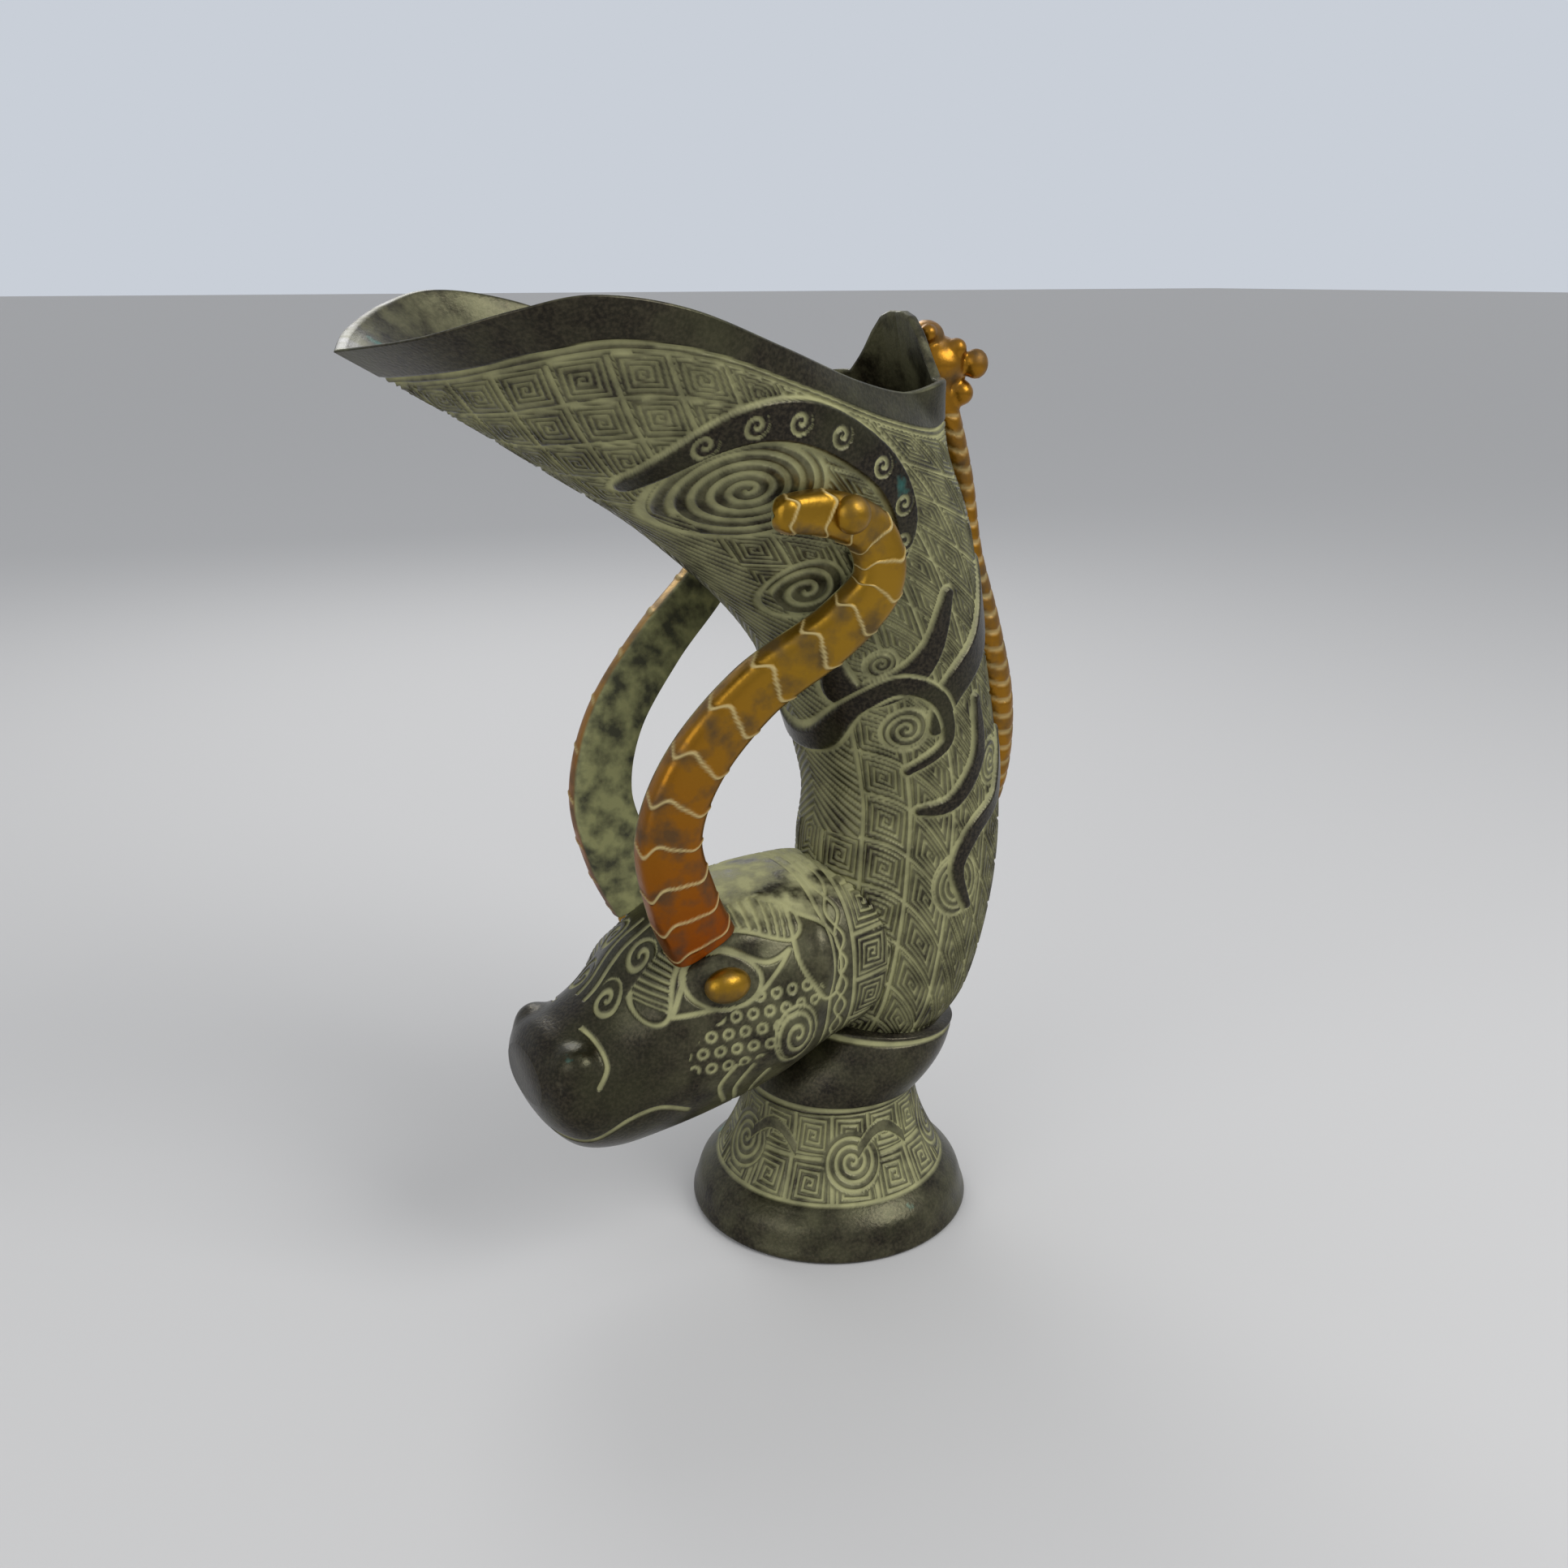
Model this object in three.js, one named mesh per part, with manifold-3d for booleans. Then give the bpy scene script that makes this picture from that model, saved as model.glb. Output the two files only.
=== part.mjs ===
// Bull head cup: a cast bronze horn-shaped drinking vessel on a round foot. Millimetres, +Z up.
// The bull looks along -X, and the cup is the same on both sides of the plane y = 0.
import * as THREE from "three";
import { mergeVertices } from "three/addons/utils/BufferGeometryUtils.js";
import Module from "manifold-3d";

const wasm = await Module();
wasm.setup();

const gap = 0.3; // between pieces that touch
const wall = 2.6; // cast wall of the cup
const floorThickness = 4;
const headWall = 3.5;

// Half of the mouth's edge, from the middle of the back to the tip of the spout: x, half width, z.
const rimEdge = [
  [20, 0, 238],
  [17, 24, 238.4],
  [1.7, 31.3, 236.1],
  [-18, 39, 239.9],
  [-43, 48, 248.2],
  [-68, 52.6, 256.5],
  [-88.8, 51.6, 259.3],
  [-103.6, 44.7, 256.3],
  [-117.6, 28, 251],
  [-127.7, 0, 247.6],
];

// Sections of the horn below the mouth, each from its back point to its front point:
// back x, back z, front x, front z, half width.
const bodySections = [
  [28, 220, -86, 223, 43],
  [36.8, 200, -52, 200, 36],
  [42.5, 170, -22, 170, 31],
  [50, 134, -7, 132, 27.5],
  [52, 108, -8, 112, 27],
  [49, 86, -9, 92, 27],
  [42, 66, -9, 72, 26],
  [33, 55.5, -6, 58.5, 22],
];
const bodySides = 32;
const stepsPerSection = 2;

const tab = { halfWidth: 19, top: 254.2, bottom: 235, x: 18.6, thickness: 3, tipRadius: 4 };

const foot = { radius: 41, ledgeRadius: 35, ledgeHeight: 13, neckRadius: 25, top: 38, wall: 3.2 };
const footSides = 36;
const collar = { height: 19.5, tiltForward: 3, bulge: 2.2 };

// Sections of the head across x: x, top z, bottom z, half width.
const headSections = [
  [4, 107, 60, 24],
  [-12, 109, 56, 27],
  [-30, 108, 49, 29.5],
  [-48, 104, 44, 28],
  [-62, 97, 41, 25],
  [-74, 85, 40, 22],
  [-84, 78.5, 43, 21],
  [-91, 75.5, 50, 18.5],
  [-94.5, 71, 57, 12],
];
const headSides = 20;
const nostril = { x: -86, y: 15, z: 72, radius: 6 };
const ear = { x: -21, y: 25, z: 92, length: 13, width: 7, thickness: 6, lean: 0.35 };
const brow = { x: -47, y: 24, z: 97, length: 13, width: 8, thickness: 4, lean: 0.5 };

const eye = { x: -48, y: 27, z: 89.5, length: 7.5, height: 4.6, thickness: 4 };

// The left horn's centre line from its root to its tip, with its width and its thickness: x, y, z, w, t.
const hornLine = [
  [-51, 17.5, 99, 19, 12],
  [-57, 19.5, 112, 18.5, 11],
  [-61, 21, 130, 17, 10],
  [-55, 24, 149, 16, 9],
  [-40, 28, 167, 15, 9],
  [-22, 35, 181, 14, 9],
  [-12, 38.5, 193, 13, 9],
  [-15, 39.5, 205, 12, 9],
  [-28, 41.5, 211, 11, 9],
  [-44, 44, 212, 8, 7],
];
const hornSides = 12;
const stud = { x: -24, y: 46, z: 211, radius: 5, height: 5 };

// The dragon's body on the back of the cup, from its neck under the tab to its tail: x, z, w, t.
const dragonLine = [
  [27, 241, 12, 9],
  [33, 228, 12, 9],
  [39, 210, 11, 8],
  [43, 190, 11, 8],
  [49, 168, 13, 11],
  [54, 146, 14, 12],
  [55, 126, 12, 10],
  [53, 110, 7, 7],
];
const dragonHead = { x: 30, z: 241, length: 11, width: 9, height: 8 };
const dragonEye = { x: 33, y: 6.5, z: 245, radius: 2.8 };
const dragonEar = { x: 39, y: 7, z: 241, radius: 4.2 };
const dragonJaw = { x: 36, y: 4.5, z: 233.5, radius: 3.6 };
const dragonSnout = { x: 27.5, z: 248, radius: 4.5 };

// A value list at place t between whole-numbered stations, by a smooth curve through them.
function between(stations, t) {
  const last = stations.length - 1;
  const i = Math.min(Math.floor(t), last - 1);
  const f = t - i;
  const at = (k) => stations[Math.max(0, Math.min(last, k))];
  return at(i).map((_, c) => {
    const [a, b, d, e] = [at(i - 1)[c], at(i)[c], at(i + 1)[c], at(i + 2)[c]];
    return b + 0.5 * f * (d - a + f * (2 * a - 5 * b + 4 * d - e + f * (3 * (b - d) + e - a)));
  });
}

function stationsAlong(stations, steps) {
  const count = (stations.length - 1) * steps;
  return Array.from({ length: count + 1 }, (_, k) => between(stations, k / steps));
}

// A closed skin over rings of points, with a fan over each end.
function skin(rings) {
  const sides = rings[0].length;
  const points = rings.flat();
  const middle = (ring) => ring.reduce((sum, p) => sum.add(p), new THREE.Vector3()).divideScalar(sides);
  points.push(middle(rings[0]), middle(rings.at(-1)));
  const faces = [];
  const first = points.length - 2;
  const lastRing = (rings.length - 1) * sides;
  for (let k = 0; k < sides; k++) {
    const n = (k + 1) % sides;
    faces.push(first, n, k, first + 1, lastRing + k, lastRing + n);
    for (let r = 0; r < rings.length - 1; r++) {
      const a = r * sides;
      const b = a + sides;
      faces.push(a + k, a + n, b + n, a + k, b + n, b + k);
    }
  }
  const geometry = new THREE.BufferGeometry().setFromPoints(points);
  geometry.setIndex(faces);
  return geometry;
}

function solid(geometry) {
  const bare = geometry.clone();
  bare.deleteAttribute("normal");
  bare.deleteAttribute("uv");
  const merged = mergeVertices(bare, 1e-3);
  const triVerts = new Uint32Array(merged.index.array);
  const vertProperties = new Float32Array(merged.attributes.position.array);
  const made = new wasm.Manifold(new wasm.Mesh({ numProp: 3, vertProperties, triVerts }));
  if (made.volume() > 0) return made;
  for (let i = 0; i < triVerts.length; i += 3) triVerts.subarray(i, i + 3).reverse();
  return new wasm.Manifold(new wasm.Mesh({ numProp: 3, vertProperties, triVerts }));
}

function geometryOf(manifold) {
  const { vertProperties, triVerts } = manifold.getMesh();
  const geometry = new THREE.BufferGeometry();
  geometry.setAttribute("position", new THREE.BufferAttribute(new Float32Array(vertProperties), 3));
  geometry.setIndex(new THREE.BufferAttribute(new Uint32Array(triVerts), 1));
  return geometry;
}

function ellipsoid(x, y, z, rx, ry, rz, turn = 0, sides = 10) {
  const geometry = new THREE.SphereGeometry(1, sides, sides - 3);
  geometry.scale(rx, ry, rz);
  geometry.rotateY(turn);
  geometry.translate(x, y, z);
  return solid(geometry);
}

const largestBody = (manifold) =>
  manifold.decompose().reduce((a, b) => (a.volume() > b.volume() ? a : b));

// The mouth's edge as a ring, moved out by grow and up by lift.
function rimRing(grow, lift) {
  const centre = new THREE.Vector2((rimEdge[0][0] + rimEdge.at(-1)[0]) / 2, 0);
  const ring = [];
  for (let k = 0; k < bodySides; k++) {
    const turn = (2 * k) / bodySides;
    const side = turn <= 1 ? 1 : -1;
    const place = (1 - Math.abs(1 - turn)) * (rimEdge.length - 1);
    const [x, w, z] = between(rimEdge, place);
    const out = new THREE.Vector2(x - centre.x, side * w).normalize();
    ring.push(new THREE.Vector3(x + out.x * grow, side * w + out.y * grow, z + lift));
  }
  return ring;
}

function sectionRing([backX, backZ, frontX, frontZ, halfWidth], grow) {
  const back = new THREE.Vector3(backX, 0, backZ);
  const front = new THREE.Vector3(frontX, 0, frontZ);
  const centre = back.clone().lerp(front, 0.5);
  const reach = back.clone().sub(centre);
  reach.setLength(reach.length() + grow);
  return Array.from({ length: bodySides }, (_, k) => {
    const angle = (2 * Math.PI * k) / bodySides;
    const point = centre.clone().addScaledVector(reach, Math.cos(angle));
    point.y = (halfWidth + grow) * Math.sin(angle);
    return point;
  });
}

// The horn's skin, moved out by grow; with a lift it is open at the mouth, for cutting the inside.
function hornSkin(grow, lift, bottomRise) {
  const rows = stationsAlong(bodySections, stepsPerSection);
  const bottom = rows.at(-1);
  bottom[1] += bottomRise;
  bottom[3] += bottomRise;
  const rings = rows.map((row) => sectionRing(row, grow));
  rings.unshift(rimRing(grow, 0));
  if (lift) rings.unshift(rimRing(grow, lift));
  return solid(skin(rings));
}

const bodyOuter = hornSkin(0, 0, 0);
const bodyClear = hornSkin(gap, 0, -gap);

function tabSolid() {
  const shape = new THREE.Shape();
  const shoulder = tab.top - tab.tipRadius;
  shape.moveTo(-tab.halfWidth, tab.bottom);
  shape.lineTo(tab.halfWidth, tab.bottom);
  shape.quadraticCurveTo(tab.halfWidth * 0.6, shoulder - tab.tipRadius, tab.tipRadius, shoulder + 2);
  shape.quadraticCurveTo(0, tab.top + 1.5, -tab.tipRadius, shoulder + 2);
  shape.quadraticCurveTo(-tab.halfWidth * 0.6, shoulder - tab.tipRadius, -tab.halfWidth, tab.bottom);
  const options = { depth: tab.thickness, bevelEnabled: false, curveSegments: 6 };
  const geometry = new THREE.ExtrudeGeometry(shape, options);
  geometry.rotateX(Math.PI / 2);
  geometry.rotateZ(Math.PI / 2);
  geometry.translate(tab.x, 0, 0);
  return solid(geometry);
}

const vesselSolid = largestBody(
  bodyOuter.subtract(hornSkin(-wall, 30, floorThickness)).add(tabSolid()),
);

function headSkin(grow) {
  const rows = stationsAlong(headSections, 2);
  const rings = rows.map(([x, top, bottom, halfWidth]) => {
    const middle = (top + bottom) / 2;
    return Array.from({ length: headSides }, (_, k) => {
      const angle = (2 * Math.PI * k) / headSides;
      const fullness = (value) => Math.sign(value) * Math.abs(value) ** 0.8;
      const y = (halfWidth + grow) * fullness(Math.cos(angle));
      const z = middle + ((top - bottom) / 2 + grow) * fullness(Math.sin(angle));
      return new THREE.Vector3(x, y, z);
    });
  });
  return solid(skin(rings));
}

const bothSides = (make) => make(1).add(make(-1));

function headForm(grow) {
  const nostrils = bothSides((side) => {
    const r = nostril.radius + grow;
    return ellipsoid(nostril.x, side * nostril.y, nostril.z, r, r, r);
  });
  const ears = bothSides((side) => {
    const [rx, ry, rz] = [ear.width + grow, ear.thickness + grow, ear.length + grow];
    return ellipsoid(ear.x, side * ear.y, ear.z, rx, ry, rz, ear.lean);
  });
  const brows = bothSides((side) => {
    const [rx, ry, rz] = [brow.length + grow, brow.thickness + grow, brow.width + grow];
    return ellipsoid(brow.x, side * brow.y, brow.z, rx, ry, rz, -brow.lean);
  });
  return headSkin(grow).add(nostrils).add(ears).add(brows);
}

const headClear = headForm(gap);
const headSolid = largestBody(headForm(0).subtract(bodyClear).subtract(hollowOfHead()));

// The casting core's space inside the head, which opens at the neck.
function hollowOfHead() {
  return headSkin(-headWall).intersect(headSkin(-headWall).translate([headWall * 2, 0, 0]));
}

function footProfile() {
  const outer = [
    [foot.radius - 0.8, 0],
    [foot.radius, 1.2],
    [foot.radius - 0.8, 4],
    [foot.ledgeRadius + 3.5, 9],
    [foot.ledgeRadius, foot.ledgeHeight],
  ];
  const rise = foot.top - foot.ledgeHeight;
  const taper = foot.ledgeRadius - 0.8 - foot.neckRadius;
  for (const share of [0, 0.2, 0.4, 0.6, 0.8, 1]) {
    outer.push([foot.neckRadius + taper * (1 - share) ** 1.6, foot.ledgeHeight + 0.6 + (rise - 0.6) * share]);
  }
  const inner = outer.slice(0, -1).map(([r, z]) => [r - foot.wall, z]);
  inner.push([foot.neckRadius - foot.wall, foot.top - foot.wall]);
  return [...outer, [0, foot.top], [0, foot.top - foot.wall], ...inner.reverse(), outer[0]];
}

function footSolid() {
  const profile = footProfile().map(([r, z]) => new THREE.Vector2(r, z));
  const geometry = new THREE.LatheGeometry(profile, footSides);
  geometry.rotateX(Math.PI / 2);
  return solid(geometry);
}

// The plain belt between the foot and the elbow of the horn, cut to fit both.
function collarForm(grow) {
  const base = foot.top + gap - grow;
  const shares = [0, 0.25, 0.5, 0.75, 1];
  const [backX, , frontX, , halfWidth] = bodySections.at(-1);
  const topX = (backX + frontX) / 2;
  const rings = shares.map((share) => {
    const swell = collar.bulge * Math.sin(Math.PI * share) + grow;
    const halfX = THREE.MathUtils.lerp(foot.neckRadius, (backX - frontX) / 2 + 5, share) + swell;
    const halfY = THREE.MathUtils.lerp(foot.neckRadius, halfWidth + 3, share) + swell;
    return Array.from({ length: bodySides }, (_, k) => {
      const angle = (2 * Math.PI * k) / bodySides;
      const x = topX * share + halfX * Math.cos(angle);
      const tilt = collar.tiltForward * share * Math.cos(angle);
      return new THREE.Vector3(x, halfY * Math.sin(angle), base + collar.height * share - tilt);
    });
  });
  return solid(skin(rings));
}

const collarSolid = largestBody(collarForm(0).subtract(bodyClear).subtract(headClear));

// A bar with an oval section that follows rows of x, y, z, width, thickness.
function bar(rows, sides, grow) {
  const centres = rows.map(([x, y, z]) => new THREE.Vector3(x, y, z));
  const rings = rows.map(([, , , width, thickness], i) => {
    const ahead = centres[Math.min(i + 1, rows.length - 1)];
    const along = ahead.clone().sub(centres[Math.max(i - 1, 0)]).normalize();
    const across = new THREE.Vector3(0, 1, 0).cross(along).normalize();
    const outward = along.clone().cross(across);
    return Array.from({ length: sides }, (_, k) => {
      const angle = (2 * Math.PI * k) / sides;
      return centres[i]
        .clone()
        .addScaledVector(across, (width / 2 + grow) * Math.cos(angle))
        .addScaledVector(outward, (thickness / 2 + grow) * Math.sin(angle));
    });
  });
  return solid(skin(rings));
}

const mirrored = (rows, side) => rows.map(([x, y, z, w, t]) => [x, side * y, z, w, t]);

function hornForm(side, grow) {
  return bar(mirrored(stationsAlong(hornLine, 2), side), hornSides, grow);
}

function hornSolid(side) {
  return largestBody(hornForm(side, 0).subtract(bodyClear).subtract(headClear));
}

function eyeSolid(side) {
  const whole = ellipsoid(eye.x, side * eye.y, eye.z, eye.length, eye.thickness, eye.height, -0.4, 12);
  return largestBody(whole.subtract(headClear));
}

function studSolid(side) {
  const whole = ellipsoid(stud.x, side * stud.y, stud.z, stud.radius, stud.height, stud.radius);
  return largestBody(whole.subtract(hornForm(side, gap)).subtract(bodyClear));
}

function dragonSolid() {
  const rows = stationsAlong(dragonLine, 2).map(([x, z, w, t]) => [x, 0, z, t, w]);
  const { x, z, length, width, height } = dragonHead;
  const head = ellipsoid(x, 0, z, length, width, height, 0.3);
  const knobs = bothSides((side) =>
    [dragonEye, dragonEar, dragonJaw]
      .map((knob) => ellipsoid(knob.x, side * knob.y, knob.z, knob.radius, knob.radius, knob.radius, 0, 8))
      .reduce((a, b) => a.add(b)),
  );
  const r = dragonSnout.radius;
  const snout = ellipsoid(dragonSnout.x, 0, dragonSnout.z, r, r + 2, r);
  const whole = bar(rows, 12, 0).add(head).add(knobs).add(snout);
  const inFrontOfTab = new THREE.BoxGeometry(60, 80, 60);
  inFrontOfTab.translate(tab.x + tab.thickness + gap - 30, 0, 250);
  return largestBody(whole.subtract(bodyClear).subtract(solid(inFrontOfTab)));
}

const bronze = { color: 0x3b3a2c, roughness: 0.5, metalness: 0.85 };
const gilt = { color: 0xc08a2c, roughness: 0.35, metalness: 1 };

function piece(name, manifold, finish) {
  const geometry = geometryOf(manifold);
  geometry.computeVertexNormals();
  const mesh = new THREE.Mesh(geometry, new THREE.MeshStandardMaterial(finish));
  mesh.name = name;
  return mesh;
}

const cup = new THREE.Group();
cup.add(piece("vessel_body", vesselSolid, bronze));
cup.add(piece("bull_head", headSolid, bronze));
cup.add(piece("neck_collar", collarSolid, bronze));
cup.add(piece("foot", footSolid(), bronze));
cup.add(piece("dragon", dragonSolid(), gilt));
for (const [word, side] of [["left", -1], ["right", 1]]) {
  cup.add(piece(`${word}_horn`, hornSolid(side), gilt));
  cup.add(piece(`${word}_eye`, eyeSolid(side), gilt));
  cup.add(piece(`${word}_horn_stud`, studSolid(side), gilt));
}

// The origin is on the table under the middle of the whole cup.
const reach = new THREE.Box3().setFromObject(cup);
cup.position.set(-(reach.min.x + reach.max.x) / 2, 0, -reach.min.z);

export default cup;
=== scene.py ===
import bmesh
import bpy
import numpy as np
from mathutils import Matrix, Vector


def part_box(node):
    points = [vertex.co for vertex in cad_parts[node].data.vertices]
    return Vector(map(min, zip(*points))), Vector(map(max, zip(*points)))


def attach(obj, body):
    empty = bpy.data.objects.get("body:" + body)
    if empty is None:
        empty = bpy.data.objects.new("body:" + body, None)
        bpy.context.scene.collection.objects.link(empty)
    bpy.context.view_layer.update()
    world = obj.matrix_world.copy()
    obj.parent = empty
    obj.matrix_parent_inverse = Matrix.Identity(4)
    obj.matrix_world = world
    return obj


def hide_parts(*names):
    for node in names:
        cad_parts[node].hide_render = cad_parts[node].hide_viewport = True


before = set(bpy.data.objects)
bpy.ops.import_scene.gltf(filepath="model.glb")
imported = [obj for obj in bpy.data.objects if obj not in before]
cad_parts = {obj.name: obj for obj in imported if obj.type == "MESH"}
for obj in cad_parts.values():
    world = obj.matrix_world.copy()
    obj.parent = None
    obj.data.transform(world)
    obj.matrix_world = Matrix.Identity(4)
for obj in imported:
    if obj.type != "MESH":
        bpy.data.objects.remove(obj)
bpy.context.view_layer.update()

# Sizes are in millimetres round the middle of the foot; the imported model's own origin lies elsewhere.
footLow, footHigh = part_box("foot")
originX = (footLow[0] + footHigh[0]) / 2
mm = 0.001


def smoothRows(stations, t):
    # rows of numbers, or whole rings of points, on a smooth curve through the stations at places t
    s = np.asarray(stations, float)
    last = len(s) - 1
    i = np.clip(np.floor(t).astype(int), 0, last - 1)
    f = (t - i).reshape((-1,) + (1,) * (s.ndim - 1))
    a, b, d, e = (s[np.clip(i + k, 0, last)] for k in (-1, 0, 1, 2))
    return b + 0.5 * f * (d - a + f * (2 * a - 5 * b + 4 * d - e + f * (3 * (b - d) + e - a)))


def toLinear(hexColour):
    parts = [int(hexColour[i:i + 2], 16) / 255 for i in (1, 3, 5)]
    return [c / 12.92 if c <= 0.04045 else ((c + 0.055) / 1.055) ** 2.4 for c in parts] + [1.0]


def edge(distance, halfWidth, soft=0.3):
    # 1 inside a line of that half width, fading to 0 just outside it
    return np.clip((halfWidth + soft - distance) / soft, 0, 1)


def saw(value):
    return np.abs(value - np.floor(value) - 0.5)


fineLine, plainLine, boldLine = 0.3, 0.35, 0.4  # half widths of the carved lines
thunderLine = {"share": 0.13, "soft": 0.25, "borderInset": 0.15, "margin": 0.9}
spiralShare = 0.15  # half width of a round spiral's line, as a share of its pitch


def squareSpirals(p, q, cell, pitch):
    # thunder pattern: each cell holds one square spiral line
    cp = (p / cell - np.floor(p / cell) - 0.5) * cell
    cq = (q / cell - np.floor(q / cell) - 0.5) * cell
    turn = np.arctan2(cq, cp) / (2 * np.pi)
    reach = np.maximum(np.abs(cp), np.abs(cq))
    line = edge(saw(reach / pitch - turn) * pitch, pitch * thunderLine["share"], thunderLine["soft"])
    border = edge(np.abs(reach - cell / 2 + thunderLine["borderInset"]), fineLine)
    return np.maximum(line * (reach < cell / 2 - thunderLine["margin"]), border)


def roundSpiral(p, q, centre, radius, pitch, stretch=1.0, side=1):
    dp = (p - centre[0]) / stretch
    dq = q - centre[1]
    reach = np.hypot(dp, dq)
    turn = side * np.arctan2(dq, dp) / (2 * np.pi)
    line = edge(saw(reach / pitch - turn) * pitch, pitch * spiralShare)
    return line * (reach < radius), edge(reach, radius, 0.8)


def pathDistance(p, q, points, steps=14):
    # distance in the side view to a smooth curve through the points, and the place along it from 0 to 1
    path = smoothRows(points, np.linspace(0, len(points) - 1, (len(points) - 1) * steps + 1))
    best = np.full(p.shape, 1e9)
    along = np.zeros(p.shape)
    for k in range(len(path) - 1):
        a, d = path[k], path[k + 1] - path[k]
        f = np.clip(((p - a[0]) * d[0] + (q - a[1]) * d[1]) / (d @ d), 0, 1)
        away = np.hypot(p - a[0] - f * d[0], q - a[1] - f * d[1])
        near = away < best
        best = np.where(near, away, best)
        along = np.where(near, (k + f) / (len(path) - 1), along)
    return best, along


def gridMesh(name, grid, attributes):
    # a closed skin over rows of rings, with its numbers stored on the points
    rows, sides = grid.shape[:2]
    points = grid.reshape(-1, 3)
    values = {key: value.reshape(-1) for key, value in attributes.items()}
    k = np.arange(sides)
    n = (k + 1) % sides
    start = (np.arange(rows - 1) * sides)[:, None]
    quads = np.stack([start + k, start + n, start + sides + n, start + sides + k], -1).reshape(-1, 4)
    faces = quads.tolist()
    for row, order in ((0, 1), (rows - 1, -1)):
        middle = len(points)
        points = np.vstack([points, grid[row].mean(0)])
        values = {key: np.append(v, v[row * sides]) for key, v in values.items()}
        fan = [[middle, row * sides + int(b), row * sides + int(a)][::order] for a, b in zip(k, n)]
        faces += fan
    world = points * mm + np.array([originX, 0, 0])
    mesh = bpy.data.meshes.new(name)
    mesh.from_pydata(world.tolist(), [], faces)
    for key, v in values.items():
        mesh.attributes.new(key, "FLOAT", "POINT").data.foreach_set("value", v.astype(np.float32))
    mesh.polygons.foreach_set("use_smooth", np.ones(len(mesh.polygons), bool))
    mesh.update()
    piece = bpy.data.objects.new(name, mesh)
    bpy.context.scene.collection.objects.link(piece)
    return faceOut(piece)


def faceOut(piece):
    work = bmesh.new()
    work.from_mesh(piece.data)
    bmesh.ops.recalc_face_normals(work, faces=work.faces)
    if work.calc_volume(signed=True) < 0:
        bmesh.ops.reverse_faces(work, faces=work.faces)
    work.to_mesh(piece.data)
    work.free()
    return piece


def gridNormals(grid):
    # outward directions of a grid of rings, whichever way its rows run
    along = np.gradient(grid, axis=0)
    around = (np.roll(grid, -1, 1) - np.roll(grid, 1, 1)) / 2
    normal = np.cross(around, along)
    normal /= np.linalg.norm(normal, axis=2, keepdims=True) + 1e-9
    outward = (normal * (grid - grid.mean(1, keepdims=True))).sum()
    return normal if outward > 0 else -normal


def place(piece, node, material):
    piece.data.materials.clear()
    piece.data.materials.append(material)
    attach(piece, "root")
    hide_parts(node)


# Materials

def addNode(tree, kind, settings=None, links=None):
    node = tree.nodes.new(kind)
    for key, value in (settings or {}).items():
        if isinstance(key, int) or key in node.inputs:
            node.inputs[key].default_value = value
        else:
            setattr(node, key, value)
    for socket, source in (links or {}).items():
        tree.links.new(source, node.inputs[socket])
    return node


def newMaterial(name):
    material = bpy.data.materials.new(name)
    material.use_nodes = True
    tree = material.node_tree
    return material, tree, tree.nodes["Principled BSDF"]


def addBlotches(tree, blotches):
    # noise fields by name, about sizeMm from blotch to blotch, raw and spread to 0..1 between two levels
    spot = addNode(tree, "ShaderNodeTexCoord").outputs["Object"]
    raw = {}
    spread = {}
    for name, (sizeMm, detail, levels) in blotches.items():
        settings = {"Scale": 1 / (sizeMm * mm), "Detail": detail}
        raw[name] = addNode(tree, "ShaderNodeTexNoise", settings, {"Vector": spot}).outputs["Fac"]
        if levels:
            settings = {1: levels[0], 2: levels[1], "clamp": True}
            spread[name] = addNode(tree, "ShaderNodeMapRange", settings, {0: raw[name]}).outputs[0]
    return raw, spread


def layerColours(tree, ground, layers):
    # the ground colour with layers over it, each by its own cover; a colour is a hex value or a socket
    below = ground
    for cover, colour in layers:
        sides = {6: below, 7: colour}
        settings = {key: toLinear(value) for key, value in sides.items() if isinstance(value, str)}
        links = {key: value for key, value in sides.items() if not isinstance(value, str)}
        node = addNode(tree, "ShaderNodeMix", {"data_type": "RGBA", **settings}, {0: cover, **links})
        below = node.outputs[2]
    return below


def finishShader(tree, shader, look, base, dull, height):
    # roughness and metallic run from bright metal to dull dust, and the fine grain gives the bump
    rough = addNode(tree, "ShaderNodeMapRange", {3: look["rough"][0], 4: look["rough"][1]}, {0: dull})
    metal = addNode(tree, "ShaderNodeMapRange", {3: look["metal"][0], 4: look["metal"][1]}, {0: dull})
    settings = {"Strength": look["bumpStrength"], "Distance": look["bumpMm"] * mm}
    bump = addNode(tree, "ShaderNodeBump", settings, {"Height": height})
    tree.links.new(base, shader.inputs["Base Color"])
    for socket, node in (("Roughness", rough), ("Metallic", metal), ("Normal", bump)):
        tree.links.new(node.outputs[0], shader.inputs[socket])


times = {"operation": "MULTIPLY", "use_clamp": True}
plus = {"operation": "ADD", "use_clamp": True}
greater = {"operation": "MAXIMUM", "use_clamp": True}

bronzeLook = {
    "dark": "#1e1a14", "rubbed": "#3d372b", "dust": "#a3a174", "moss": "#44452c", "verdigris": "#3f8077",
    # size in mm, detail, and the two levels
    "blotches": {"dust": (7, 4, (0.35, 0.62)), "moss": (24, 4, (0.48, 0.68)), "grain": (0.9, 6, (0.4, 0.7)),
                 "green": (30, 7, (0.69, 0.74))},
    "mossShare": 0.4, "filmLeast": 0.02, "filmPatch": 0.3, "fillLeast": 0.55, "fillPatch": 0.35,
    "rough": (0.3, 0.9), "metal": (0.75, 0), "bumpStrength": 0.35, "bumpMm": 0.25,
}


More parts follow.
